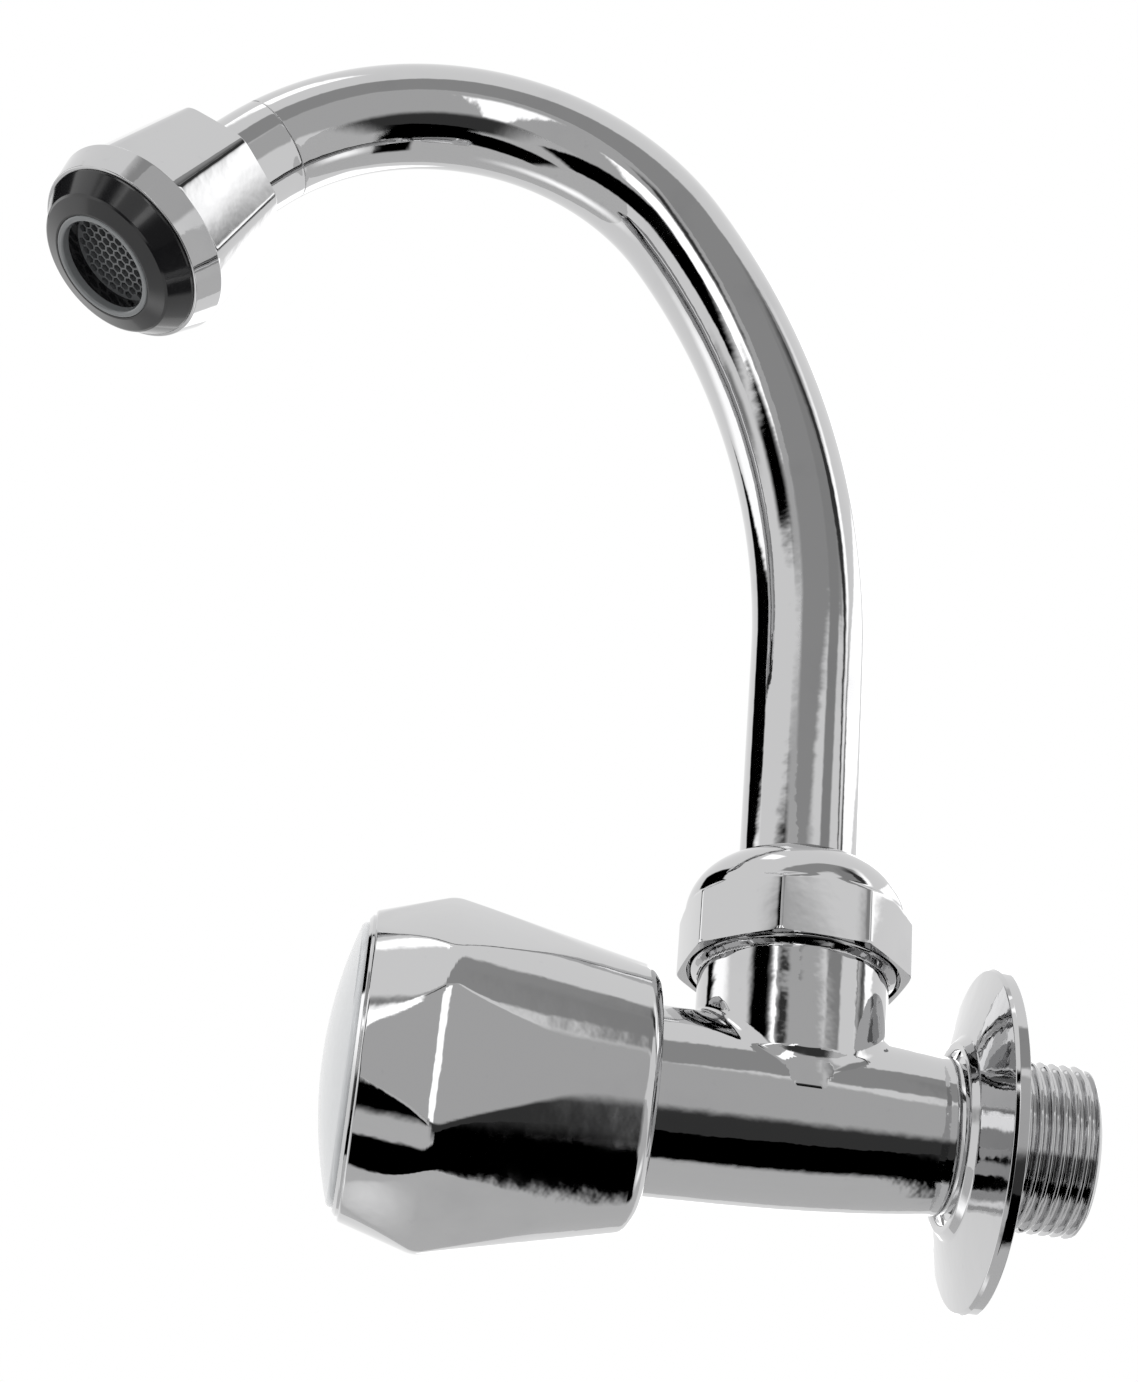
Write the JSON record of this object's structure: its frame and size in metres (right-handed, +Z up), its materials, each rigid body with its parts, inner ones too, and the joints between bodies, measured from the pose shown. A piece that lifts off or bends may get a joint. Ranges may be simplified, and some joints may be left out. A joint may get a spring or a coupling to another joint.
{
  "type": "wall mounted gooseneck tap",
  "caption": "Wall mounted tap with a facetted handle, a tall swivelling gooseneck spout and a ball jointed eight sided aerator head",
  "frame": {"origin": "On the inlet thread's axis, in the plane of the flange's back, which is the wall's face", "axes": "+Y runs along the inlet thread into the wall, +Z is up along the boss and the spout's foot, the handle points away from the wall along -Y"},
  "size_m": [0.0534, 0.1849, 0.2212],
  "materials": {
    "chrome_plate": "bright chrome plate on brass",
    "handle_chrome": "bright chrome plate on die cast zinc",
    "pale_cap": "glossy pale plastic, blank",
    "bare_brass": "machined brass",
    "black_rubber": "black sealing rubber",
    "white_acetal": "white low friction plastic",
    "steel": "stainless steel",
    "black_plastic": "glossy black plastic",
    "grey_plastic": "grey moulded plastic"
  },
  "bodies": {
    "body": {"tap_body": "chrome_plate", "wall_flange": "chrome_plate", "valve_bonnet": "bare_brass", "bonnet_gasket": "black_rubber", "union_nut": "chrome_plate", "spout_slip_washer": "white_acetal"},
    "handle": {"handle_shell": "handle_chrome", "handle_spline_insert": "white_acetal", "handle_screw": "steel", "handle_trim_ring": "handle_chrome", "handle_cap": "pale_cap", "valve_spindle": "bare_brass", "spindle_o_rings": "black_rubber", "spindle_snap_ring": "steel"},
    "plunger": {"valve_plunger": "bare_brass", "seat_washer": "black_rubber", "seat_washer_screw": "bare_brass"},
    "spout": {"spout_collar": "bare_brass", "spout_o_rings": "black_rubber", "spout_tube": "chrome_plate", "spout_tip_sleeve": "chrome_plate", "ball_stud": "chrome_plate"},
    "slip_ring": {"ball_slip_ring": "white_acetal"},
    "head": {"ball_retainer": "black_plastic", "ball_seat_seal": "black_rubber", "aerator_shell": "chrome_plate", "aerator_gasket": "black_rubber", "nozzle_insert": "black_plastic", "nozzle_ring": "grey_plastic", "aerator_screen": "grey_plastic", "flow_mixer": "grey_plastic"}
  },
  "joints": [
    {"name": "handle_turn", "type": "hinge", "parent": "body", "child": "handle", "pos_m": [0, -0.075, 0], "axis": [0, -1, 0], "range_deg": [0, 450]},
    {"name": "plunger_slide", "type": "slide", "parent": "body", "child": "plunger", "axis": [0, -1, 0], "range_m": [0, 0.00505]},
    {"name": "spout_swivel", "type": "hinge", "parent": "body", "child": "spout", "pos_m": [0, -0.031, 0.022], "axis": [0, 0, 1], "continuous": true},
    {"name": "aerator_spin", "type": "hinge", "parent": "spout", "child": "slip_ring", "pos_m": [0, -0.14689, 0.15595], "axis": [0, -0.6691, -0.7431], "continuous": true},
    {"name": "aerator_tilt", "type": "hinge", "parent": "slip_ring", "child": "head", "pos_m": [0, -0.14689, 0.15595], "axis": [0.7175, -0.5176, 0.4661], "range_deg": [-31.9, 2.1]}
  ],
  "couplings": [
    {"joint": "plunger_slide", "follows": "handle_turn", "m_per_rad": 0.00063662}
  ]
}
